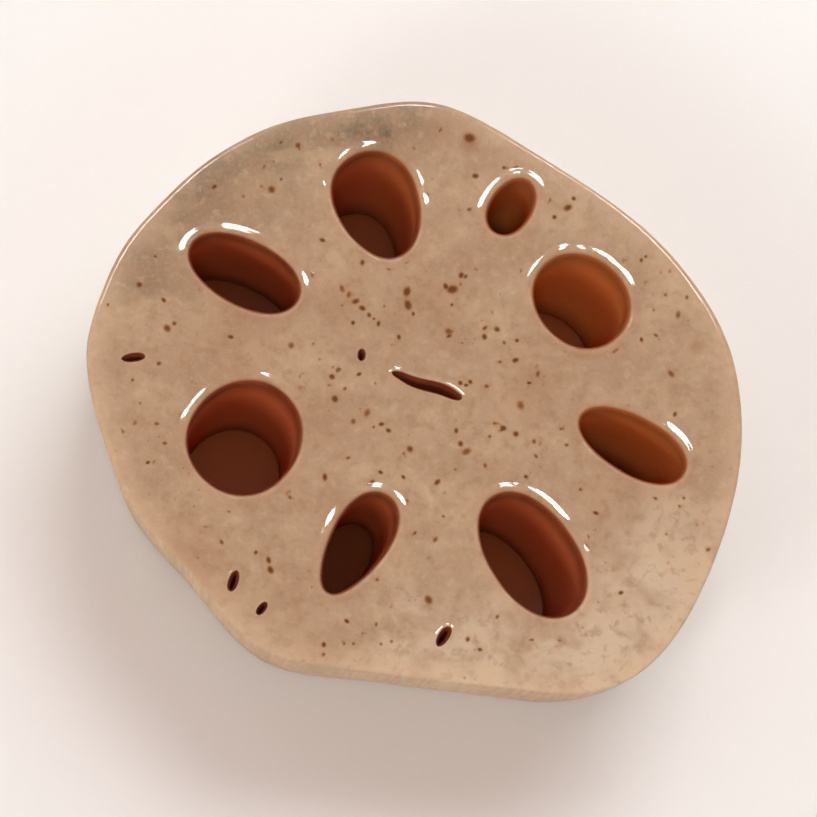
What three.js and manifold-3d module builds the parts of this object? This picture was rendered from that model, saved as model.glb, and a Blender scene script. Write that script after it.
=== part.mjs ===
// A thick round cut from a peeled lotus root, lying flat on one of its two cut faces.
// Millimetres, +Z up. The root's length runs along Z, so its air channels run from face to face.
// The origin is the middle of the face that the slice rests on.
import * as THREE from "three";
import Module from "manifold-3d";

const wasm = await Module();
wasm.setup();

// Driving dimensions of the slice.
const THICKNESS = 19; // from the resting face to the upper cut face
const CUT_EDGE = 0.6; // how far the edge between rim and cut face is rounded
const MOUTH = 0.45; // how far the mouth of a channel is worn back
const FINE_MOUTH = 0.12; // the same, at the slit and the fine canals
const OVERSHOOT = 2; // how far a bore runs past a face to cut it cleanly

// The root narrows a little towards the resting face, and its side is faintly barrelled.
const TAPER = 0.035; // share of the width that is lost over the thickness
const BARREL = 0.007; // share of the width that is gained at half the height

// Facets of the faceted solid.
const OUTLINE_FACETS = 96;
const CHANNEL_FACETS = 24;
const CANAL_FACETS = 8;
const EDGE_STEPS = 2; // steps of the rounding between rim and face
const MOUTH_STEPS = 1; // steps of the rounding at a channel's mouth

// The upper face's outline, anticlockwise, measured from the root's middle. The peeler left
// long flats with short turns between them, so the points stand where a flat ends.
const OUTLINE = [
  [0, 30.3], [-8, 29.2], [-15, 27.5], [-21.5, 24], [-27, 18.9], [-31, 13.8], [-34.2, 5],
  [-34.2, 1.5], [-32, -6.5], [-29.6, -12.2], [-24.6, -18], [-17.6, -26], [-14, -27.9],
  [-5, -29.2], [8, -30.7], [16.5, -31.3], [21.8, -29.6], [25.6, -26], [29.8, -18.5],
  [32.8, -9], [33.1, -1], [31.3, 6.5], [26.8, 13.6], [21, 19.1], [12, 25], [4, 29.4],
];

// The oval air channels. at and size place one on the upper face, with the longer side first,
// and turn is the direction of its length in degrees. egg is how much broader the oval is at
// the end that turn points to. shrink is its size at the resting face, and drift is how far it
// has strayed there. All stray to one side, because the knife was not square to the root.
const FULLNESS = 2.1; // how square the ends of an oval are, from 2 for an ellipse
const CHANNELS = [
  { at: [-4.4, 19.1], size: [11.2, 8.2], turn: 112, egg: 0.16, drift: [-0.7, -1.3], shrink: 0.92 },
  { at: [-18.2, 11.8], size: [12.0, 6.4], turn: -27, egg: 0.04, drift: [-0.4, -0.7], shrink: 1.02 },
  { at: [-18.0, -5.3], size: [11.7, 10.9], turn: 50, egg: -0.04, drift: [-1.4, -1.7], shrink: 0.93 },
  { at: [-6.5, -16.2], size: [11.4, 5.4], turn: 59, egg: 0.24, drift: [-1.3, -0.8], shrink: 0.97 },
  { at: [11.4, -17.1], size: [14.0, 8.4], turn: -55, egg: 0.03, drift: [-1.5, -1.3], shrink: 0.92 },
  { at: [21.8, -5.6], size: [11.8, 5.6], turn: -29, egg: 0.08, drift: [-0.9, -1.5], shrink: 0.98 },
  { at: [16.6, 9.4], size: [10.2, 8.8], turn: -42, egg: 0.03, drift: [-1.3, -1.9], shrink: 0.93 },
  { at: [9.4, 19.2], size: [6.2, 4.0], turn: 57, egg: -0.05, drift: [-0.8, -1.0], shrink: 0.9 },
];

// The slit in the middle and the fine canals near the rim, in the same terms.
const SLIT_FULLNESS = 2.6;
const CENTRE_SLIT = {
  at: [0.6, 0.3], size: [7.7, 1.2], turn: -20, egg: 0.15, drift: [-0.6, -0.9], shrink: 0.9,
};
const FINE_CANALS = [
  { at: [-29.5, 2.8], size: [2.5, 0.9], turn: 8, egg: 0.1, drift: [-0.3, -0.5], shrink: 0.9 },
  { at: [-6.1, 3.4], size: [1.3, 0.8], turn: 85, egg: 0, drift: [-0.5, -0.8], shrink: 0.9 },
  { at: [-19.1, -20.1], size: [2.3, 1.0], turn: 72, egg: -0.1, drift: [-0.2, -0.3], shrink: 0.9 },
  { at: [-16.2, -22.9], size: [1.6, 0.8], turn: 52, egg: 0, drift: [-0.3, -0.2], shrink: 0.9 },
  { at: [2.3, -25.6], size: [2.4, 1.1], turn: 57, egg: 0.1, drift: [-0.5, -0.2], shrink: 0.9 },
];

// How deep the height z lies, from 0 at the upper face to 1 at the resting face.
function depth(z) {
  return 1 - z / THICKNESS;
}

// A point of the upper face carried down to the height z, as the root narrows.
function carried(x, y, z) {
  const size = 1 - TAPER * depth(z) + BARREL * Math.sin(Math.PI * depth(z));
  return new THREE.Vector3(x * size, y * size, z);
}

// A quarter circle between a face at height 0 and the wall above it: how high each step is,
// and how far it stands off from the wall.
function quarterRound(radius, steps) {
  const rings = [];
  for (let step = 0; step <= steps; step++) {
    const angle = (step / steps) * (Math.PI / 2);
    rings.push({ z: radius * (1 - Math.cos(angle)), off: radius * (1 - Math.sin(angle)) });
  }
  return rings;
}

// The rings of a wall from face to face, rounded at both, with plain rings at the shares
// of the thickness in between.
function wallLevels(radius, steps, between) {
  const edge = quarterRound(radius, steps);
  return [
    ...edge,
    ...between.map((share) => ({ z: THICKNESS * share, off: 0 })),
    ...edge.map(({ z, off }) => ({ z: THICKNESS - z, off })).reverse(),
  ];
}

// One closed solid through rings of points that run anticlockwise, from the lowest ring up.
function loft(rings) {
  const count = rings[0].length;
  const corners = rings.flat();
  const triangles = [];
  for (let level = 1; level < rings.length; level++) {
    for (let i = 0; i < count; i++) {
      const next = (i + 1) % count;
      const [a, b] = [(level - 1) * count + i, (level - 1) * count + next];
      const [c, d] = [level * count + i, level * count + next];
      triangles.push(a, b, d, a, d, c);
    }
  }
  const top = corners.length - count;
  const flat = rings[0].map((p) => new THREE.Vector2(p.x, p.y));
  for (const [a, b, c] of THREE.ShapeUtils.triangulateShape(flat, [])) {
    triangles.push(a, c, b, top + a, top + b, top + c);
  }
  const mesh = new wasm.Mesh({
    numProp: 3,
    vertProperties: new Float32Array(corners.flatMap((p) => [p.x, p.y, p.z])),
    triVerts: new Uint32Array(triangles),
  });
  return new wasm.Manifold(mesh);
}

// The whole root between the two cuts, before its channels are cut out.
function rootBody() {
  const points = OUTLINE.map(([x, y]) => new THREE.Vector3(x, y, 0));
  const outline = new THREE.CatmullRomCurve3(points, true, "centripetal");
  const around = outline.getSpacedPoints(OUTLINE_FACETS).slice(0, OUTLINE_FACETS);
  return loft(
    wallLevels(CUT_EDGE, EDGE_STEPS, [1 / 3, 2 / 3]).map(({ z, off }) =>
      around.map((p) => {
        const worn = 1 - off / Math.hypot(p.x, p.y);
        return carried(p.x * worn, p.y * worn, z);
      }),
    ),
  );
}

// The oval of a channel at the height z, standing off from its wall all round.
function channelRing(channel, look, z, off) {
  const grow = 1 + (channel.shrink - 1) * depth(z);
  const halfLength = (channel.size[0] / 2) * grow + off;
  const halfWidth = (channel.size[1] / 2) * grow + off;
  const turn = THREE.MathUtils.degToRad(channel.turn);
  const ring = [];
  for (let i = 0; i < look.facets; i++) {
    const angle = (i / look.facets) * 2 * Math.PI;
    const along = squared(Math.cos(angle), look.fullness);
    const across = squared(Math.sin(angle), look.fullness) * (1 + channel.egg * along);
    const oval = new THREE.Vector2(along * halfLength, across * halfWidth);
    oval.rotateAround(new THREE.Vector2(), turn);
    const x = channel.at[0] + channel.drift[0] * depth(z) + oval.x;
    const y = channel.at[1] + channel.drift[1] * depth(z) + oval.y;
    ring.push(carried(x, y, z));
  }
  return ring;
}

// A cosine or sine bent so that the oval it draws has fuller ends than an ellipse.
function squared(value, fullness) {
  return Math.sign(value) * Math.abs(value) ** (2 / fullness);
}

// The tool that cuts one channel, running past both faces, with its mouths flared.
function channelBore(channel, look) {
  const levels = [
    { z: -OVERSHOOT, off: look.mouth },
    ...wallLevels(look.mouth, MOUTH_STEPS, [1 / 2]),
    { z: THICKNESS + OVERSHOOT, off: look.mouth },
  ];
  return loft(levels.map(({ z, off }) => channelRing(channel, look, z, off)));
}

// The solid as a geometry whose resting face has its middle at the origin.
function geometryOf(solid) {
  const { numProp, vertProperties, triVerts } = solid.getMesh();
  const geometry = new THREE.BufferGeometry();
  const positions = new THREE.InterleavedBuffer(vertProperties, numProp);
  geometry.setAttribute("position", new THREE.InterleavedBufferAttribute(positions, 3, 0));
  geometry.setIndex(new THREE.BufferAttribute(triVerts, 1));
  geometry.computeBoundingBox();
  const middle = geometry.boundingBox.getCenter(new THREE.Vector3());
  geometry.translate(-middle.x, -middle.y, 0);
  geometry.computeVertexNormals();
  return geometry;
}

function lotusRootSlice() {
  const channelLook = { facets: CHANNEL_FACETS, fullness: FULLNESS, mouth: MOUTH };
  const slitLook = { facets: CHANNEL_FACETS, fullness: SLIT_FULLNESS, mouth: FINE_MOUTH };
  const canalLook = { facets: CANAL_FACETS, fullness: FULLNESS, mouth: FINE_MOUTH };
  const bores = [
    ...CHANNELS.map((channel) => channelBore(channel, channelLook)),
    channelBore(CENTRE_SLIT, slitLook),
    ...FINE_CANALS.map((canal) => channelBore(canal, canalLook)),
  ];
  const solid = bores.reduce((rest, bore) => rest.subtract(bore), rootBody());
  const flesh = new THREE.MeshStandardMaterial({ color: 0xb69274, roughness: 0.35, metalness: 0 });
  const mesh = new THREE.Mesh(geometryOf(solid), flesh);
  mesh.name = "lotus_root_slice";
  return mesh;
}

const slice = new THREE.Group();
slice.add(lotusRootSlice());

export default slice;
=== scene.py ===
"""Looks of a thick slice of peeled lotus root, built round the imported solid.

The walls of the solid (its rim, its air channels, the slit and the fine canals) are read from
the frame as smooth curves. A dense mesh is lofted through them, with rounded edges, lips round
the mouths, pits on the cut face and fibres on the peeled rim, and it takes a procedural flesh
material. Lengths are in millimetres until a mesh is made, and the frame is in metres.
"""
import math

import bpy
import numpy as np
from mathutils import Matrix, Vector, kdtree, noise
from mathutils.geometry import delaunay_2d_cdt


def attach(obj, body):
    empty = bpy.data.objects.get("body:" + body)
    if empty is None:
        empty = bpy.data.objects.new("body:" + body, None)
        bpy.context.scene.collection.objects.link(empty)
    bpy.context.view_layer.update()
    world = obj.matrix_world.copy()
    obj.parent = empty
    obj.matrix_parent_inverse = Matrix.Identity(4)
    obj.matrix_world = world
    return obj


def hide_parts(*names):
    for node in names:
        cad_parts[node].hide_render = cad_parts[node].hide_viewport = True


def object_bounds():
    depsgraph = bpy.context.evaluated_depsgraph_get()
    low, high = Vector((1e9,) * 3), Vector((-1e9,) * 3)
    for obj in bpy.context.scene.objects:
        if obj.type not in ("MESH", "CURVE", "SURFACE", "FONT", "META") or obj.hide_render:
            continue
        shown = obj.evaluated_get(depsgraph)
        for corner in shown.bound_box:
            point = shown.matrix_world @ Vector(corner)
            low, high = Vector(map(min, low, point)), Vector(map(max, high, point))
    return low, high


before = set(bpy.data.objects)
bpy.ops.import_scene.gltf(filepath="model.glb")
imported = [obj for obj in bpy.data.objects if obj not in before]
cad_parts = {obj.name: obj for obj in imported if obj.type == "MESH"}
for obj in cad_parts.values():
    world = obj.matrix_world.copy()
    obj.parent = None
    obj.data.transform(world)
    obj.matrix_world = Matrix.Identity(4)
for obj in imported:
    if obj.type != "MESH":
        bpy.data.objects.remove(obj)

NODE = "lotus_root_slice"
MM = 0.001

CAD_LOW, CAD_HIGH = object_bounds()
CAD_MIDDLE = (CAD_LOW + CAD_HIGH) / 2
THICK = (CAD_HIGH.z - CAD_LOW.z) / MM

# How the solid's walls are read.
SECTION_MARGIN = 0.043   # share of the thickness between a face and the section next to it
MIDDLE_SECTION = 0.5003  # the same for the middle section, just clear of a ring of points
RIM_WAVES = 34           # waves kept round the rim, so that its facets go
CHANNEL_WAVES = 9        # the same round a channel
BIG_CHANNEL = 3.0        # a channel wider than this has the large mouth

# Edges, mouths and lips, in millimetres.
EDGE_RADIUS = 0.55       # between a cut face and the rim
MOUTH_RADIUS = 0.6       # at the mouths of the air channels
FINE_RADIUS = 0.14       # at the slit and the fine canals
FINE_WAIST = 0.34        # how far the walls of the slit and the fine canals draw in
WAIST_SHARE = 0.3        # the most that a fine canal draws in, as a share of its width
WAIST_RAMP = 24          # how soon a waisted wall is fully drawn in, in parts of its height
LIP_HEIGHT = 0.17        # how far the wet lip round a large mouth stands proud
LIP_WIDTH = 0.85         # how far the lip slopes down to the flat of the face
LIP_BASE = 0.75          # how whole the lip is before its gaps, with 1 for whole
FINE_SHIFT = 0.9         # how much further off the slit and the fine canals count for a lip
SLIT_BEND = 0.14         # how far the ends of the slit bend aside

# Collars: rings on the cut face round an edge or a mouth, by how far off its rounding they are.
RIM_COLLAR = (0.62, 0.42, 0.25, 0.11)
LIP_COLLAR = (1.25, 1.08, 0.94, 0.82, 0.71, 0.61, 0.51, 0.41, 0.31, 0.2, 0.1)
FINE_COLLAR = (0.3, 0.14)
COLLAR_SHARE = 0.48      # the most of the gap to the next wall that a rounding and collar take

# Mesh density, in millimetres between points or in rings.
WALL_STEP = 0.34
RIM_STEP = 0.36
FACE_STEP = 0.31
BASE_STEP = 0.85
MIN_COLUMNS = 22
RIM_ROWS = 18
CHANNEL_ROWS = 24
FINE_ROWS = 44
ROW_CROWDING = 1.25      # over 1, the rows of a wall crowd towards the upper face
UPPER_ROUNDING = 6       # steps of a rounding at the upper face
LOWER_ROUNDING = 4       # steps of a rounding at the lower face
GRID_SHAKE = 0.12        # how far the grid of a face is shaken, in steps
EXTRA_ROOM = 0.55        # how far the grid keeps off the specks' own points, in steps
BORDER_ROOM = 0.6        # how far it keeps off its borders, in steps
FACE_SEED = 3
BASE_SEED = 4

# Relief, in millimetres. Each wave is how high it is, how broad and the seed of its noise.
NOISE_STRIDE = (7.31, 3.17, 5.93)  # how far apart the noises of two seeds lie
FACE_WAVES = ((0.11, 13, 1), (0.035, 3.2, 2), (0.008, 0.75, 3))
LIP_GAPS = (1.2, 3.4, 4)
LIP_WANDER = (0.15, 4, 8)
RIM_FIBRES = ((0.018, 0.75, 5), (0.022, 1.9, 6))
RIM_SWELL = (0.16, 9, 7)
FIBRE_STRETCH = 0.015    # how slowly the fibres of the rim change along the root
RIM_REACH = 31           # about how far the rim is from the middle
EDGE_SINK = 0.06         # how far the face sinks at the rim
EDGE_SINK_REACH = 0.9
PIT_DEPTH = 0.035        # how deep a speck is pitted
RELIEF_FOOT = 2.2        # how far below the upper face its relief ends
RELIEF_FADE = 1.6        # over how much height it fades
FACE_ZONE = 2.5          # how far down from the upper face its marks and relief are worked out

# Painted layers, in millimetres.
FAR = 50.0               # a painted distance where none was measured
LINING_START = 0.02      # how far below a face the lining of a channel starts
LINING_BLEND = 0.16      # over how much depth it comes in
DEEP_REACH = 5           # how deep in a channel the lining reaches its lighter inner tone, which is painted light
FILM_FLOOR = 0.1         # how far below the upper face the moisture ends
FILM_LARGE = (0.45, 0.3)  # how far off a large mouth it starts, and over how much it comes in
FILM_FINE = (0.12, 0.16)  # the same at any mouth

# The clearest specks of the upper face: place and width, from the middle of the slice.
CLEAR_SPECKS = [
    (-7.6, 10.8, 0.7), (-6.9, 10.2, 0.6), (-6.2, 9.5, 0.7), (-5.5, 8.8, 0.6), (-4.8, 8.1, 0.5),
    (-0.9, 10.6, 0.9), (-0.8, 9.2, 0.9), (3.8, 10.9, 1.0), (3.1, 11.2, 0.6), (4.7, 12.4, 0.6),
    (3.4, 6.5, 0.8), (7.1, 6.0, 0.6), (8.4, 6.8, 0.6), (-12.8, 4.8, 0.7), (-25.5, 6.4, 0.8),
    (-19.0, 5.6, 0.5), (-14.9, 21.1, 0.8), (-12.2, 25.8, 0.6), (-20.8, 21.3, 0.5),
    (15.8, 19.7, 0.8), (6.2, 22.9, 0.6), (-5.0, -2.1, 0.8), (-6.4, -3.0, 0.6), (-2.8, -3.9, 0.5),
    (-0.6, -5.8, 0.7), (5.2, -6.0, 0.9), (4.6, -5.2, 0.6), (2.2, -9.2, 0.6), (10.8, -1.1, 0.9),
    (-9.3, -8.8, 0.6), (1.3, -21.3, 0.9), (-14.8, -18.4, 0.7), (-15.0, -17.4, 0.6),
    (27.2, 8.6, 0.7), (26.4, 2.4, 0.7), (-8.6, 1.6, 0.6), (-8.0, 2.3, 0.5), (-8.3, -0.7, 0.7),
    (9.0, -3.5, 0.6), (10.3, -4.1, 0.6), (12.6, 2.2, 0.6), (10.3, 3.6, 0.6), (2.0, -15.1, 0.6),
    (-28.4, 10.9, 0.6), (-29.0, 1.0, 0.4), (5.3, -25.3, 0.5), (18.5, -12.2, 0.5),
    (5.6, 26.9, 1.1),
]
# Brown stains of the upper face, and broad painted shade round the mouths and towards the lower
# left: place, width and strength. The small ones are stains of the flesh, the broad soft ones
# painted shade.
STAINS_AND_SHADE = [
    (5.5, 26.4, 2.0, 1.0), (29.2, 5.4, 1.6, 0.6), (4.0, 11.0, 3.0, 0.45), (3.1, 27.2, 3.6, 0.35),
    (-1.0, 9.9, 1.9, 0.5), (-9.0, -12.0, 5.0, 0.25), (8.0, -9.0, 6.0, 0.25),
    (11.8, 1.0, 9.0, 0.42), (20.0, -12.0, 8.0, 0.3), (1.5, 9.5, 9.0, 0.38),
    (-8.0, 9.8, 7.0, 0.38), (-18.3, 5.4, 9.0, 0.44), (-9.2, -3.6, 7.0, 0.26),
    (-22.8, -17.2, 9.0, 0.46), (-12.0, -24.0, 9.0, 0.26), (-26.0, 24.0, 9.0, 0.2),
]
FAINT_SPECKS = 170
FAINT_SEED = 11
FAINT_TRIES = 12         # places drawn for each faint speck that is kept
FAINT_WIDTHS = (0.24, 0.52)
HUB_CROWD = (8, 6)       # how far from the middle the faint specks crowd, and how broadly
RIM_CROWD = (27, 4)      # the same near the rim
RIM_CROWD_SHARE = 0.45   # how dense they are there, against the first
SCATTER_SHARE = 0.1      # how dense they are everywhere
SPECK_ROOM = 0.9         # how far a faint speck keeps off every edge
WIDE_SPECK = 0.4         # a speck wider than this gets mesh points of its own
SPECK_RINGS = ((0.28, 6), (0.52, 9), (0.8, 12))  # share of its width, and number of points
SPECK_CORE = 0.12        # share of its width at which a speck starts to fade
SPECK_FADE = 0.75        # over what share it fades


# ---------------------------------------------------------------- reading the solid's walls

def solid_mesh(node):
    """The node's merged points in millimetres, and its triangles."""
    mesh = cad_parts[node].data
    mesh.calc_loop_triangles()
    raw = np.empty(len(mesh.vertices) * 3)
    mesh.vertices.foreach_get("co", raw)
    corners = np.empty(len(mesh.loop_triangles) * 3, int)
    mesh.loop_triangles.foreach_get("vertices", corners)
    merged, where = np.unique(np.round(raw.reshape(-1, 3) / MM, 4), axis=0, return_inverse=True)
    return merged, where.reshape(-1)[corners].reshape(-1, 3)


def section(points, triangles, height):
    """The closed loops in which a level plane cuts the solid, each an array of x and y."""
    above = points[:, 2] > height
    sides = above[triangles]
    links = {}
    for corners in triangles[sides.any(1) & ~sides.all(1)]:
        cut = []
        for a, b in zip(corners, np.roll(corners, -1)):
            if above[a] != above[b]:
                cut.append((min(a, b), max(a, b)))
        links.setdefault(cut[0], []).append(cut[1])
        links.setdefault(cut[1], []).append(cut[0])
    loops = []
    while links:
        at = next(iter(links))
        edges = []
        while at is not None:
            edges.append(at)
            following = links.pop(at)
            at = next((edge for edge in following if edge in links), None)
        low, high = points[[a for a, b in edges]], points[[b for a, b in edges]]
        share = (height - low[:, 2]) / (high[:, 2] - low[:, 2])
        loops.append((low + share[:, None] * (high - low))[:, :2])
    return loops


def loop_shape(loop):
    """A loop's middle, its two half axes, their directions and its area, longer axis first."""
    x, y = loop.T
    x2, y2 = np.roll(loop, -1, axis=0).T
    cross = x * y2 - x2 * y
    area = cross.sum() / 2
    middle = np.array([((x + x2) * cross).sum(), ((y + y2) * cross).sum()]) / (6 * area)
    steps = np.linalg.norm(np.roll(loop, -1, axis=0) - loop, axis=1)
    weights = (steps + np.roll(steps, 1)) / 2
    spread = np.cov((loop - middle).T, aweights=weights)
    sizes, axes = np.linalg.eigh(spread)
    return middle, np.sqrt(2 * sizes[::-1]), axes[:, ::-1], abs(area)


class Wall:
    """One wall of the solid as a smooth curve at any height, with a fixed number of columns."""

    SAMPLES = 512

    def __init__(self, loops, heights, waves, step, inward):
        shapes = [loop_shape(loop) for loop in loops]
        self.heights = heights
        self.half, self.axes = shapes[1][1], shapes[1][2]
        if np.linalg.det(self.axes) < 0:
            self.axes = self.axes * [1, -1]
        self.middles = [shape[0] for shape in shapes]
        self.radii = [self.smooth_radius(loop, middle, waves)
                      for loop, middle in zip(loops, self.middles)]
        self.inward = inward
        self.dent = None
        self.width = 2 * self.half[1]
        length = self.length(self.curve(heights[2]))
        self.columns = max(MIN_COLUMNS, 2 * round(length / step / 2))

    @property
    def is_big(self):
        return self.width > BIG_CHANNEL

    def smooth_radius(self, loop, middle, waves):
        """Distance from the middle by angle, in units of the half axes, without the facets."""
        flat = (loop - middle) @ self.axes / self.half
        angle = np.arctan2(flat[:, 1], flat[:, 0])
        order = np.argsort(angle)
        radius = np.interp(self.angles(), angle[order], np.hypot(*flat.T)[order],
                           period=2 * np.pi)
        spectrum = np.fft.rfft(radius)
        fade = np.clip(1.5 - np.arange(len(spectrum)) / waves, 0, 1)
        return np.fft.irfft(spectrum * fade, self.SAMPLES)

    def angles(self):
        return np.arange(self.SAMPLES) / self.SAMPLES * 2 * np.pi - np.pi

    def at_height(self, values, z):
        """Values known at the three section heights, carried smoothly to the height z."""
        (a, b, c), (p, q, r) = self.heights, values
        return (p * (z - b) * (z - c) / ((a - b) * (a - c))
                + q * (z - a) * (z - c) / ((b - a) * (b - c))
                + r * (z - a) * (z - b) / ((c - a) * (c - b)))

    def curve(self, z):
        """The wall at the height z, finely sampled, anticlockwise."""
        angle = self.angles()
        radius = self.at_height(self.radii, z)
        flat = np.stack([np.cos(angle), np.sin(angle)], 1) * radius[:, None] * self.half
        if self.dent is not None:
            flat = self.dent(flat)
        return self.at_height(self.middles, z) + flat @ self.axes.T

    @staticmethod
    def length(curve):
        return np.linalg.norm(np.roll(curve, -1, axis=0) - curve, axis=1).sum()

    def ring(self, z, off):
        """Evenly spaced points of the wall at the height z, standing off into the flesh."""
        curve = self.curve(z)
        closed = np.vstack([curve, curve[:1]])
        run = np.concatenate([[0], np.cumsum(np.linalg.norm(np.diff(closed, axis=0), axis=1))])
        at = np.arange(self.columns) / self.columns * run[-1]
        points = np.stack([np.interp(at, run, closed[:, k]) for k in (0, 1)], 1)
        along = np.roll(points, -1, axis=0) - np.roll(points, 1, axis=0)
        along /= np.linalg.norm(along, axis=1)[:, None]
        outward = np.stack([along[:, 1], -along[:, 0]], 1)
        return points + outward * (-off if self.inward else off)


def read_walls():
    """The rim's wall and the walls of every channel, from the solid."""
    points, triangles = solid_mesh(NODE)
    margin = SECTION_MARGIN * THICK
    heights = (margin, MIDDLE_SECTION * THICK, THICK - margin)
    levels = [section(points, triangles, height) for height in heights]
    levels = [sorted(loops, key=lambda loop: -loop_shape(loop)[3]) for loops in levels]
    rim = Wall([loops[0] for loops in levels], heights, RIM_WAVES, RIM_STEP, inward=True)
    channels = []
    for loop in levels[1][1:]:
        middle = loop_shape(loop)[0]
        matching = [min(loops[1:], key=lambda other: math.dist(loop_shape(other)[0], middle))
                    for loops in levels]
        channels.append(Wall(matching, heights, CHANNEL_WAVES, WALL_STEP, inward=False))
    return rim, channels


def bend_slit(channels):
    """The middle slit is drawn out like a flat S."""
    slit = min(channels, key=lambda wall: wall.half[1] / wall.half[0])

    def bend(flat):
        along = np.clip(flat[:, 0] / slit.half[0], -1, 1)
        side = math.copysign(1, slit.axes[0, 0])
        return flat + np.column_stack([0 * along, -SLIT_BEND * side * np.sin(np.pi * along)])

    slit.dent = bend


# ---------------------------------------------------------------- measuring and noise

def smoothstep(value):
    value = np.clip(value, 0, 1)
    return value * value * (3 - 2 * value)


def waves_at(points, waves):
    """The sum of smooth waves at the points, each given as height, breadth and seed."""
    total = np.zeros(len(points))
    for height, breadth, seed in waves:
        shift = Vector([seed * stride for stride in NOISE_STRIDE])
        total += height * np.array([noise.noise(Vector(p) * (1 / breadth) + shift) for p in points])
    return total


def tree_of(points):
    tree = kdtree.KDTree(len(points))
    for index, point in enumerate(points):
        tree.insert((point[0], point[1], 0), index)
    tree.balance()
    return tree


def distances(tree, points):
    return np.array([tree.find((x, y, 0))[2] for x, y in points])


def inside(loop, points):
    """Which points lie inside a closed loop."""
    hits = np.zeros(len(points), bool)
    x, y = points.T
    for (x1, y1), (x2, y2) in zip(loop, np.roll(loop, -1, axis=0)):
        if y1 != y2:
            crosses = (y1 > y) != (y2 > y)
            hits ^= crosses & (x < (x2 - x1) * (y - y1) / (y2 - y1) + x1)
    return hits


def inside_face(loops, points):
    """Which points lie inside the first loop and in none of the others."""
    found = inside(loops[0], points)
    for hole in loops[1:]:
        found &= ~inside(hole, points)
    return found


class UpperFace:
    """Distances on the upper cut face from the rim and from the mouths."""

    def __init__(self, rim, channels):
        self.loops = [wall.curve(THICK) for wall in [rim] + channels]
        self.edge = tree_of(self.loops[0])
        self.mouths = tree_of(np.vstack(self.loops[1:]))
        self.large = tree_of(np.vstack([wall.curve(THICK) for wall in channels if wall.is_big]))

    def clearance(self, places):
        """Distance to the nearest edge of the cut face, or 0 off the face."""
        clear = np.minimum(distances(self.mouths, places), distances(self.edge, places))
        return np.where(inside_face(self.loops, places), clear, 0)

    def off_lips(self, places):
        """Distance to the nearest large mouth, or to a fine one that counts as further off."""
        return np.minimum(distances(self.large, places),
                          distances(self.mouths, places) + FINE_SHIFT)

    def off_edge(self, places):
        return distances(self.edge, places)

    def film(self, places):
        """How much moisture lies there: none where a mouth turns down."""
        film = 1.0
        for tree, (start, blend) in ((self.large, FILM_LARGE), (self.mouths, FILM_FINE)):
            film = film * smoothstep((distances(tree, places) - start) / blend)
        return film


# ---------------------------------------------------------------- the marks on the cut face

def mark_places(clearance):
    """Every speck as x, y and width. The faint ones crowd round the slit and near the rim."""
    draw = np.random.default_rng(FAINT_SEED)
    reach = (CAD_HIGH.x - CAD_LOW.x) / MM / 2
    places = draw.uniform(-reach, reach, (FAINT_SPECKS * FAINT_TRIES, 2))
    out = np.hypot(*places.T)
    hub, rim = (np.exp(-((out - at) / breadth) ** 2) for at, breadth in (HUB_CROWD, RIM_CROWD))
    crowd = hub + RIM_CROWD_SHARE * rim + SCATTER_SHARE
    kept = (draw.random(len(places)) < crowd) & (clearance(places) > SPECK_ROOM)
    faint = places[kept][:FAINT_SPECKS]
    widths = draw.uniform(*FAINT_WIDTHS, len(faint))
    return np.vstack([CLEAR_SPECKS, np.column_stack([faint, widths])])


def speck_points(marks):
    """Extra mesh points round the wider specks, so that their edges come out round."""
    rings = []
    for x, y, width in marks[marks[:, 2] > WIDE_SPECK]:
        rings.append([(x, y)])
        for share, count in SPECK_RINGS:
            turn = np.arange(count) / count * 2 * np.pi + x
            rings.append(np.column_stack([x + np.cos(turn) * share * width,
                                          y + np.sin(turn) * share * width]))
    return np.vstack(rings)


def speck_strength(marks, points):
    """How much of a speck each point is in, from 0 to 1. No two specks have the same shape."""
    strength = np.zeros(len(points))
    for x, y, width in marks:
        squeeze = 1 + 0.25 * math.sin(9 * x + 5 * y)
        lean = 3 * x + 2 * y
        depth = 0.86 + 0.14 * math.sin(7 * x - 4 * y)
        dx, dy = points[:, 0] - x, points[:, 1] - y
        u = (dx * math.cos(lean) + dy * math.sin(lean)) * squeeze
        v = (dy * math.cos(lean) - dx * math.sin(lean)) / squeeze
        spread = 1 - smoothstep((np.hypot(u, v) / width - SPECK_CORE) / SPECK_FADE)
        strength = np.maximum(strength, depth * spread)
    return strength


# Brown stains and broad painted shade, each a soft round spot.
def stain_and_shade_strength(points):
    strength = np.zeros(len(points))
    for x, y, width, depth in STAINS_AND_SHADE:
        away = np.hypot(points[:, 0] - x, points[:, 1] - y) / width
        strength = np.maximum(strength, depth * np.exp(-(away * 2) ** 2))
    return strength


# ---------------------------------------------------------------- building the mesh

class Skin:
    """Points, faces and painted values of the mesh while it is put together."""

    def __init__(self):
        self.points = []
        self.faces = []
        self.layers = {"lining": [], "peel": [], "deep": []}
        self.count = 0

    def add(self, points, **values):
        """Adds points with their painted values, and returns the number of the first."""
        first = self.count
        self.points.append(points)
        for name, layer in self.layers.items():
            layer.append(np.broadcast_to(values.get(name, 0.0), len(points)).astype(float))
        self.count += len(points)
        return first


def rounding(radius, steps):
    """Height below the face and distance from the wall along a quarter round, face first."""
    turn = np.linspace(0, np.pi / 2, steps + 1)
    return list(zip(radius * (1 - np.cos(turn)), radius * (1 - np.sin(turn))))


def wall_profile(radius, collar, rows, waist=0.0):
    """The rings of a wall from the upper face to the lower one, as height and stand-off."""
    top = [(THICK, radius + reach) for reach in collar]
    top += [(THICK - down, off) for down, off in rounding(radius, UPPER_ROUNDING)]
    spread = np.linspace(0, 1, rows + 2)[1:-1] ** ROW_CROWDING
    wall = [(THICK - radius - share * (THICK - 2 * radius), -waist * drawn_in(share))
            for share in spread]
    base = rounding(radius, LOWER_ROUNDING)[::-1]
    return top + wall + base


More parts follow.
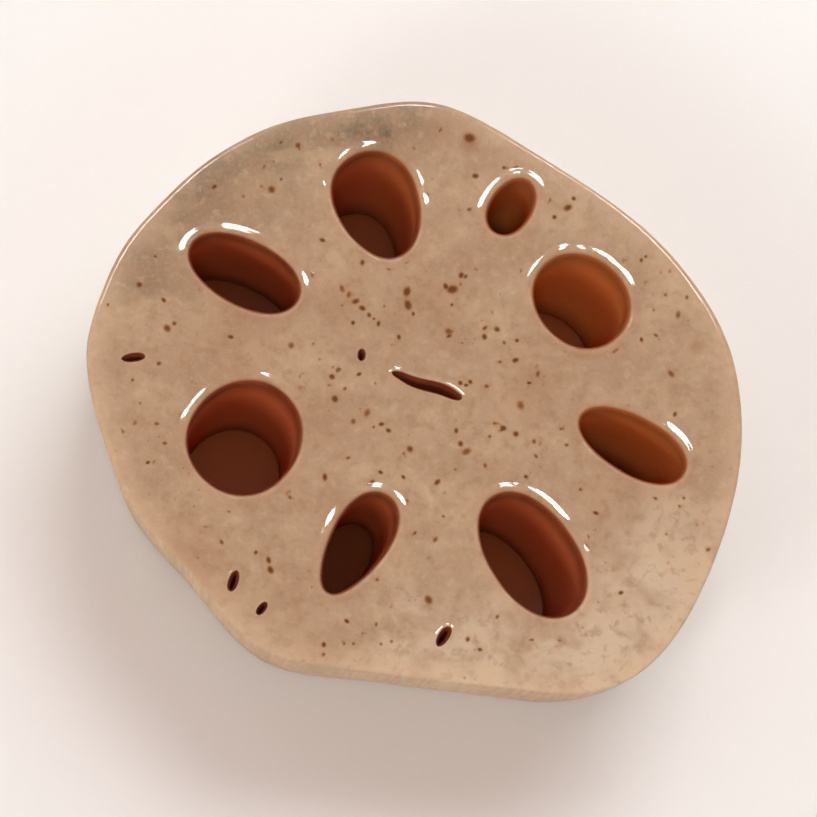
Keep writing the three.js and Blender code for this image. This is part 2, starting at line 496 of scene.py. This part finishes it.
def drawn_in(share):
    """How far a waisted wall is drawn in, from its mouth at 0 to the other one at 1."""
    return float(smoothstep(share * WAIST_RAMP) * smoothstep((1 - share) * WAIST_RAMP))


def fitted(collar, radius, wall, walls):
    """A collar drawn in where needed, so that neighbouring walls' collars never meet."""
    others = np.vstack([other.curve(THICK) for other in walls if other is not wall])
    gap = distances(tree_of(others), wall.curve(THICK)).min()
    share = min(1.0, (COLLAR_SHARE * gap - radius) / collar[0])
    return [reach * share for reach in collar]


def profile_of(wall, walls):
    """The profile of the rim, of a large channel, or of the slit or a fine canal."""
    if wall.inward:
        return wall_profile(EDGE_RADIUS, fitted(RIM_COLLAR, EDGE_RADIUS, wall, walls), RIM_ROWS)
    if wall.is_big:
        collar = fitted(LIP_COLLAR, MOUTH_RADIUS, wall, walls)
        return wall_profile(MOUTH_RADIUS, collar, CHANNEL_ROWS)
    waist = min(FINE_WAIST, WAIST_SHARE * wall.width)
    return wall_profile(FINE_RADIUS, fitted(FINE_COLLAR, FINE_RADIUS, wall, walls), FINE_ROWS, waist)


def add_wall(skin, wall, profile):
    """Adds a wall's rings and the faces between them, and returns its two border rings."""
    starts = []
    for z, off in profile:
        flat = wall.ring(z, off)
        points = np.column_stack([flat, np.full(len(flat), z)])
        into = min(THICK - z, z)
        if wall.inward:
            painted = {"peel": smoothstep(into / EDGE_RADIUS)}
        else:
            # deep: how far the lining has gone from its dark mouth tone to its lighter inner one,
            # painted light down the channel
            painted = {"lining": smoothstep((into - LINING_START) / LINING_BLEND),
                       "deep": smoothstep(into / DEEP_REACH)}
        starts.append(skin.add(points, **painted))
    n = wall.columns
    for upper, lower in zip(starts, starts[1:]):
        for i in range(n):
            j = (i + 1) % n
            quad = (upper + i, lower + i, lower + j, upper + j)
            skin.faces.append(quad if wall.inward else quad[::-1])
    return np.arange(starts[0], starts[0] + n), np.arange(starts[-1], starts[-1] + n)


def hex_grid(low, high, step, seed):
    """A slightly shaken triangular grid of points over a box."""
    draw = np.random.default_rng(seed)
    rows = []
    for number, y in enumerate(np.arange(low[1], high[1], step * math.sqrt(3) / 2)):
        x = np.arange(low[0] + (number % 2) * step / 2, high[0], step)
        rows.append(np.column_stack([x, np.full(len(x), y)]))
    grid = np.vstack(rows)
    return grid + draw.uniform(-GRID_SHAKE, GRID_SHAKE, grid.shape) * step


def face_points(loops, placed, extra, step, seed):
    """The points inside a cut face: a grid, and the extra points with room round them."""
    grid = hex_grid(placed.min(0)[:2], placed.max(0)[:2], step, seed)
    if len(extra):
        near = distances(tree_of(extra), grid)
        grid = np.vstack([grid[near > step * EXTRA_ROOM], extra])
    grid = grid[inside_face(loops, grid)]
    return grid[distances(tree_of(placed), grid) > step * BORDER_ROOM]


def add_face(skin, borders, extra, step, up, seed):
    """Fills a cut face between its border rings, rim first, with small triangles."""
    made = np.vstack(skin.points)
    loops = [made[ring][:, :2] for ring in borders]
    border = np.concatenate(borders)
    placed = made[border]
    grid = face_points(loops, placed, extra, step, seed)
    first = skin.add(np.column_stack([grid, np.full(len(grid), placed[:, 2].mean())]))
    flat = np.vstack([placed[:, :2], grid])
    numbers = np.concatenate([border, np.arange(first, first + len(grid))])
    edges, start = [], 0
    for ring in borders:
        n = len(ring)
        edges += [(start + i, start + (i + 1) % n) for i in range(n)]
        start += n
    found = delaunay_2d_cdt([Vector(p) for p in flat], edges, [], 0, 1e-7)
    corners = np.array([face for face in found[2] if len(face) == 3])
    origin = np.array([source[0] for source in found[3]])
    middles = np.array(found[0])[corners].mean(1)
    for face in numbers[origin[corners[inside_face(loops, middles)]]]:
        skin.faces.append(tuple(face) if up else tuple(face[::-1]))


def relief(points, off_mouth, off_edge, speck):
    """How far the upper face stands proud of the flat, from waves, lips, pits and its edge."""
    flat = np.column_stack([points[:, :2], np.zeros(len(points))])
    gaps = smoothstep(LIP_BASE + waves_at(flat, [LIP_GAPS]))
    lip_end = MOUTH_RADIUS + LIP_WIDTH + waves_at(flat, [LIP_WANDER])
    lip = LIP_HEIGHT * gaps * smoothstep((lip_end - off_mouth) / LIP_WIDTH)
    edge = -EDGE_SINK * np.exp(-off_edge / EDGE_SINK_REACH)
    return waves_at(flat, FACE_WAVES) + lip + edge - PIT_DEPTH * speck


def shape_surface(points, paint):
    """Gives the flat loft its relief, on the upper cut face and the peeled rim."""
    shown = points[:, 2] > THICK - FACE_ZONE
    chosen = points[shown]
    height = relief(chosen, paint["mouth"][shown], paint["edge"][shown], paint["speck"][shown])
    points[shown, 2] += height * smoothstep((chosen[:, 2] - (THICK - RELIEF_FOOT)) / RELIEF_FADE)
    peel = paint["peel"] > 0
    wall = points[peel]
    turn = np.arctan2(wall[:, 1], wall[:, 0])
    outward = np.column_stack([np.cos(turn), np.sin(turn)])
    run = np.column_stack([outward * RIM_REACH, wall[:, 2] * FIBRE_STRETCH])
    proud = waves_at(run, RIM_FIBRES) + waves_at(wall, [RIM_SWELL])
    points[peel, :2] += outward * (proud * paint["peel"][peel])[:, None]
    return points


def paint_layers(points, skin, marks, upper_face):
    """Every painted value of the points, by the name of its layer."""
    paint = {name: np.concatenate(layer) for name, layer in skin.layers.items()}
    near = points[:, 2] > THICK - FACE_ZONE
    chosen = points[near]
    flat = chosen[:, :2]
    for name, far_value, values in (
        ("speck", 0.0, speck_strength(marks, chosen)),
        ("stain_and_shade", 0.0, stain_and_shade_strength(chosen)),
        ("mouth", FAR, upper_face.off_lips(flat)),
        ("edge", FAR, upper_face.off_edge(flat)),
        ("film", 0.0, upper_face.film(flat) * (chosen[:, 2] > THICK - FILM_FLOOR)),
    ):
        paint[name] = np.full(len(points), far_value)
        paint[name][near] = values
    return paint


def build_slice():
    """The points, faces and painted layers of the whole slice."""
    rim, channels = read_walls()
    bend_slit(channels)
    walls = [rim] + channels
    upper_face = UpperFace(rim, channels)
    marks = mark_places(upper_face.clearance)
    skin = Skin()
    borders = [add_wall(skin, wall, profile_of(wall, walls)) for wall in walls]
    top, base = zip(*borders)
    add_face(skin, top, speck_points(marks), FACE_STEP, True, FACE_SEED)
    add_face(skin, base, [], BASE_STEP, False, BASE_SEED)
    points = np.vstack(skin.points)
    paint = paint_layers(points, skin, marks, upper_face)
    return shape_surface(points, paint), skin.faces, paint


def mesh_object(name, points, faces, paint):
    mesh = bpy.data.meshes.new(name)
    mesh.from_pydata((points * MM).tolist(), [], [tuple(int(i) for i in face) for face in faces])
    mesh.polygons.foreach_set("use_smooth", np.ones(len(mesh.polygons), bool))
    for layer, values in paint.items():
        attribute = mesh.attributes.new(layer, "FLOAT", "POINT")
        attribute.data.foreach_set("value", values.astype(np.float32))
    mesh.validate()
    mesh.update()
    piece = bpy.data.objects.new(name, mesh)
    bpy.context.scene.collection.objects.link(piece)
    return piece


# ---------------------------------------------------------------- material

class Nodes:
    """A short way to write shader nodes."""

    def __init__(self, tree):
        self.tree = tree

    def add(self, kind, inputs=None, **settings):
        node = self.tree.nodes.new(kind)
        for name, value in settings.items():
            setattr(node, name, value)
        for name, value in (inputs or {}).items():
            self.set(node.inputs[name], value)
        return node

    def set(self, socket, value):
        if isinstance(value, bpy.types.NodeSocket):
            self.tree.links.new(value, socket)
        else:
            socket.default_value = value

    def layer(self, name):
        """A painted layer of the mesh."""
        return self.add("ShaderNodeAttribute", attribute_name=name).outputs["Fac"]

    def noise(self, vector, scale, detail, roughness=0.5, distortion=0.0):
        made = self.add("ShaderNodeTexNoise", {"Vector": vector, "Scale": scale, "Detail": detail,
                                               "Roughness": roughness, "Distortion": distortion})
        return made.outputs["Fac"]

    def remap(self, value, low, high, to_low=0.0, to_high=1.0, kind="SMOOTHSTEP"):
        made = self.add("ShaderNodeMapRange", {"Value": value, "From Min": low, "From Max": high,
                                               "To Min": to_low, "To Max": to_high},
                        interpolation_type=kind)
        return made.outputs["Result"]

    def math(self, operation, a, b):
        return self.add("ShaderNodeMath", {0: a, 1: b}, operation=operation).outputs[0]

    def scaled(self, vector, factors):
        made = self.add("ShaderNodeVectorMath", {0: vector, 1: factors}, operation="MULTIPLY")
        return made.outputs[0]

    def along(self, vector, direction):
        made = self.add("ShaderNodeVectorMath", {0: vector, 1: direction}, operation="DOT_PRODUCT")
        return made.outputs["Value"]

    def mix(self, share, a, b):
        made = self.add("ShaderNodeMix", data_type="RGBA")
        for socket, value in ((0, share), (6, a), (7, b)):
            self.set(made.inputs[socket], value)
        return made.outputs[2]

    def wash(self, base, tint, value, start, full, share=1.0):
        """Lays a tint over a colour: none where value is start, and the given share at full."""
        return self.mix(self.remap(value, start, full, 0.0, share), base, tint)


def colour(red, green, blue):
    """A colour given as it looks on a screen, in 0 to 255, as linear light."""
    steps = [value / 255 for value in (red, green, blue)]
    return tuple(v / 12.92 if v <= 0.04045 else ((v + 0.055) / 1.055) ** 2.4 for v in steps) + (1,)


def face_tones(n, mm, blotches, patches):
    """The cut face: greyer and darker towards the upper left, which is painted shade, and paler
    towards the lower end, which is painted light, with clouds and a grain.
    """
    clouds = n.noise(mm, 0.075, 3, 0.55)
    mottle = n.noise(mm, 0.8, 3, 0.6, 0.3)
    grain = n.noise(mm, 2.2, 3, 0.6)
    drift = n.remap(clouds, 0.3, 0.7, -0.12, 0.12, "LINEAR")
    # Painted shade towards the upper left and painted light towards the lower end, broken up by the
    # clouds.
    greyer = n.math("ADD", n.along(mm, (-0.0095, 0.0172, 0)), drift)
    paler = n.math("ADD", n.along(mm, (0.010, -0.022, 0)), drift)
    face = colour(176, 148, 120)
    face = n.wash(face, colour(100, 86, 64), greyer, 0.41, 0.64)
    face = n.wash(face, colour(202, 181, 157), paler, 0.32, 0.82)
    face = n.wash(face, colour(162, 131, 104), blotches, 0.46, 0.66, 0.55)
    face = n.wash(face, colour(196, 170, 136), blotches, 0.46, 0.3, 0.42)
    face = n.wash(face, colour(160, 131, 103), patches, 0.48, 0.74, 0.42)
    face = n.wash(face, colour(156, 125, 94), mottle, 0.5, 0.68, 0.5)
    face = n.wash(face, colour(196, 169, 137), mottle, 0.46, 0.3, 0.36)
    return n.wash(face, colour(203, 178, 150), grain, 0.4, 0.75, 0.15)


def face_marks(n, mm, face, patches):
    """Adds a paler band inside the rim, partly the flesh's own tone and partly a painted highlight
    of the rounded edge; a darker tone round the mouths, partly the flesh's own and partly painted
    shade; brown stains and broad painted shade; and specks.
    """
    # The paler band is partly the flesh's own paler rim and partly a painted highlight where the
    # rounded cut edge catches the light.
    face = n.wash(face, colour(208, 181, 152), n.layer("edge"), 3.4, 0.2, 0.34)
    # The darker tone round the mouths is partly the flesh's own and partly painted shade where the
    # face slopes down into them.
    face = n.wash(face, colour(170, 128, 98), n.layer("mouth"), 2.4, 0.2, 0.26)
    # One layer holds both brown stains and broad painted shade round the mouths and towards the
    # lower left.
    face = n.mix(n.math("MULTIPLY", n.layer("stain_and_shade"), 0.6), face, colour(140, 88, 56))
    pricks = n.add("ShaderNodeTexVoronoi", {"Vector": mm, "Scale": 0.75, "Randomness": 1.0})
    prick = n.remap(pricks.outputs["Distance"], 0.06, 0.16, 0.5, 0.0)
    face = n.mix(n.math("MULTIPLY", prick, n.remap(patches, 0.48, 0.6)), face, colour(140, 97, 60))
    face = n.wash(face, colour(164, 110, 58), n.layer("speck"), 0.0, 0.5, 0.5)
    return n.wash(face, colour(100, 56, 10), n.layer("speck"), 0.22, 0.9, 0.97)


def rim_tones(n, mm, blotches):
    """The peeled rim: fine straight fibres along the root, broad soft bands and faint clouds."""
    stretched = n.scaled(mm, (1, 1, FIBRE_STRETCH))
    fibres = n.noise(stretched, 2.6, 1)
    bands = n.noise(stretched, 0.22, 1)
    rim = n.wash(colour(189, 153, 121), colour(201, 166, 133), fibres, 0.3, 0.7)
    rim = n.wash(rim, colour(177, 141, 109), bands, 0.5, 0.75, 0.45)
    rim = n.wash(rim, colour(211, 178, 146), bands, 0.46, 0.28, 0.45)
    return n.wash(rim, colour(180, 150, 112), blotches, 0.45, 0.7, 0.3)


def lining_tones(n, mm, patches):
    """The channels' brown lining: darker at the mouths and lighter deep down, which is painted light
    that evens out the shade down the channels; lighter and more orange on the right.
    """
    # Painted light: the lining lightens with depth so that the shade falling down a channel is
    # evened out.
    brown = n.mix(n.layer("deep"), colour(116, 51, 28), colour(186, 88, 50))
    orange = n.mix(n.layer("deep"), colour(146, 76, 37), colour(208, 114, 54))
    lining = n.mix(n.remap(n.along(mm, (0.75, 0.4, 0)), 4, 12), brown, orange)
    return n.wash(lining, colour(176, 100, 60), patches, 0.35, 0.7, 0.25)


def roughness(n, patches):
    """The cut face is the smoothest, the rim is rougher and the depth of a channel most so."""
    rough = n.remap(patches, 0.3, 0.7, 0.36, 0.48)
    rough = n.math("ADD", rough, n.math("MULTIPLY", n.layer("peel"), 0.2))
    return n.math("ADD", rough, n.math("MULTIPLY", n.layer("deep"), 0.5))


def moisture(n):
    """A film on the cut face and the lips, which ends where mouths and rim turn down."""
    film = n.math("MULTIPLY", n.layer("film"), n.remap(n.layer("edge"), 0.3, 0.7, 0.3, 1.0))
    return n.math("MAXIMUM", film, n.math("MULTIPLY", n.layer("peel"), 0.15))


def flesh_material():
    material = bpy.data.materials.new("lotus_flesh")
    material.use_nodes = True
    tree = material.node_tree
    tree.nodes.clear()
    n = Nodes(tree)
    mm = n.scaled(n.add("ShaderNodeTexCoord").outputs["Object"], (1 / MM,) * 3)
    blotches = n.noise(mm, 0.17, 3, 0.55, 0.6)
    patches = n.noise(mm, 0.32, 4, 0.6, 0.4)
    face = face_marks(n, mm, face_tones(n, mm, blotches, patches), patches)
    base = n.mix(n.layer("peel"), face, rim_tones(n, mm, blotches))
    base = n.mix(n.layer("lining"), base, lining_tones(n, mm, patches))
    bumps = n.math("ADD", n.math("MULTIPLY", n.noise(mm, 1.6, 4, 0.6), 0.7),
                   n.math("MULTIPLY", n.noise(mm, 6, 2), 0.3))
    bump = n.add("ShaderNodeBump", {"Strength": 0.35, "Distance": 0.00012, "Height": bumps})
    shader = n.add("ShaderNodeBsdfPrincipled", {
        "Base Color": base,
        "Roughness": roughness(n, patches),
        "IOR": 1.38,
        "Specular IOR Level": 0.12,
        "Normal": bump.outputs["Normal"],
        "Subsurface Weight": 0.35,
        "Subsurface Radius": (1.0, 0.42, 0.2),
        "Subsurface Scale": 0.0022,
        "Coat Weight": moisture(n),
        "Coat Roughness": 0.06,
        "Coat IOR": 1.42,
    })
    output = n.add("ShaderNodeOutputMaterial")
    tree.links.new(shader.outputs["BSDF"], output.inputs["Surface"])
    return material


def floor_material():
    material = bpy.data.materials.new("pale_floor")
    material.use_nodes = True
    shader = material.node_tree.nodes["Principled BSDF"]
    shader.inputs["Base Color"].default_value = colour(240, 244, 244)
    shader.inputs["Roughness"].default_value = 0.65
    return material


# ---------------------------------------------------------------- stage

# The lamps: name, direction from the slice, distance and size in metres, watts and tint.
SOFT_LAMPS = (
    ("steep", (-0.09, -0.18, 0.98), 1.0, (0.20, 0.20), 3.6, (0.91, 1, 0.99)),
    ("backdrop", (0.5, 0.9, 0.8), 1.2, (0.9, 0.9), 4.2, (0.88, 1, 1)),
    ("north", (0.16, 0.60, 0.78), 0.8, (0.34, 0.30), 1.2, (1, 1, 1)),
    ("south", (-0.60, -0.50, 0.56), 0.6, (0.26, 0.14), 0.7, (1, 1, 1)),
)
# The cards that glint in the moisture: name, direction from the slice and size in metres.
CARDS = (
    ("card_left", (-0.35, 0.50, 0.80), (0.22, 0.30)),
    ("card_top", (0.08, 0.62, 0.78), (0.09, 0.22)),
    ("card_right", (0.45, 0.50, 0.75), (0.22, 0.30)),
)
CARD_DISTANCE = 0.8
CARD_GLOW = 110.0        # watts a square metre
SKY_AT_HORIZON = (0.89, 1.0, 1.0, 1)
SKY_OVERHEAD = (0.65, 0.17, 0.038, 1)
SKY_STRENGTH = 0.72
FLOOR_REACH = 1.2
CAMERA_AZIMUTH = -25     # degrees
CAMERA_ELEVATION = 79.5
CAMERA_DISTANCE = 0.46
CAMERA_LENS = 100.0      # millimetres
CAMERA_FILL = 0.79       # share of the picture's width that the slice takes


def make_floor():
    size = FLOOR_REACH
    mesh = bpy.data.meshes.new("floor")
    corners = [(-size, -size, 0), (size, -size, 0), (size, size, 0), (-size, size, 0)]
    mesh.from_pydata(corners, [], [(0, 1, 2, 3)])
    floor = bpy.data.objects.new("floor", mesh)
    floor.data.materials.append(floor_material())
    bpy.context.scene.collection.objects.link(floor)
    return floor


def aim(location, up):
    """A turn that looks from location to the slice with up near the top of the view."""
    back = (location - CAD_MIDDLE).normalized()
    right = up.cross(back).normalized()
    return Matrix((right, back.cross(right), back)).transposed().to_quaternion()


def area_light(name, direction, distance, size, power, tint):
    """A rectangular lamp that shines at the slice from a direction given as a vector."""
    lamp = bpy.data.lights.new(name, "AREA")
    lamp.shape = "RECTANGLE"
    lamp.size, lamp.size_y = size
    lamp.energy = power
    lamp.color = tint
    holder = bpy.data.objects.new(name, lamp)
    holder.location = CAD_MIDDLE + Vector(direction).normalized() * distance
    holder.rotation_mode = "QUATERNION"
    holder.rotation_quaternion = aim(holder.location, Vector((0.02, 1, 0)))
    bpy.context.scene.collection.objects.link(holder)
    return holder


def shine_only_on(lamp, target):
    lit = bpy.data.collections.new("lit_by_" + lamp.name)
    lit.objects.link(target)
    lamp.light_linking.receiver_collection = lit


def make_lamps(piece, floor):
    """Soft studio light. The steep lamp reaches down the channels and is for the slice alone,
    so that the floor under the channels stays dark. The backdrop lamp is for the floor. The
    cards are seen only as glints in the moisture."""
    lamps = {row[0]: area_light(*row) for row in SOFT_LAMPS}
    for name in ("steep", "north", "south"):
        lamps[name].visible_glossy = False
    for name, direction, size in CARDS:
        power = CARD_GLOW * size[0] * size[1]
        card = area_light(name, direction, CARD_DISTANCE, size, power, (1, 1, 1))
        card.visible_diffuse = False
    shine_only_on(lamps["steep"], piece)
    shine_only_on(lamps["backdrop"], floor)


def make_sky():
    """A white sky at the horizon with a brown cap overhead, which tints what the channels show."""
    world = bpy.data.worlds.new("studio")
    world.use_nodes = True
    n = Nodes(world.node_tree)
    height = n.add("ShaderNodeSeparateXYZ", {0: n.add("ShaderNodeTexCoord").outputs["Generated"]})
    background = world.node_tree.nodes["Background"]
    sky = n.wash(SKY_AT_HORIZON, SKY_OVERHEAD, height.outputs["Z"], 0.62, 0.84)
    n.set(background.inputs["Color"], sky)
    background.inputs["Strength"].default_value = SKY_STRENGTH
    bpy.context.scene.world = world
    bpy.context.scene.view_settings.view_transform = "Standard"


def make_camera():
    azimuth, elevation = math.radians(CAMERA_AZIMUTH), math.radians(CAMERA_ELEVATION)
    back = Vector((math.sin(azimuth) * math.cos(elevation),
                   -math.cos(azimuth) * math.cos(elevation), math.sin(elevation)))
    camera = bpy.data.objects.new("camera", bpy.data.cameras.new("camera"))
    camera.location = CAD_MIDDLE + back * CAMERA_DISTANCE
    camera.rotation_mode = "QUATERNION"
    camera.rotation_quaternion = aim(camera.location, Vector((0, 1, 0)))
    camera.data.lens = CAMERA_LENS
    seen = (CAD_HIGH.x - CAD_LOW.x) / CAMERA_FILL
    camera.data.sensor_width = seen / CAMERA_DISTANCE * CAMERA_LENS
    camera.data.clip_start = 0.01
    bpy.context.scene.collection.objects.link(camera)
    bpy.context.scene.camera = camera


make_camera()
floor = make_floor()

piece = mesh_object("lotus_root_flesh", *build_slice())
piece.data.materials.append(flesh_material())
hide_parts(NODE)
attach(piece, "root")
make_lamps(piece, floor)
make_sky()
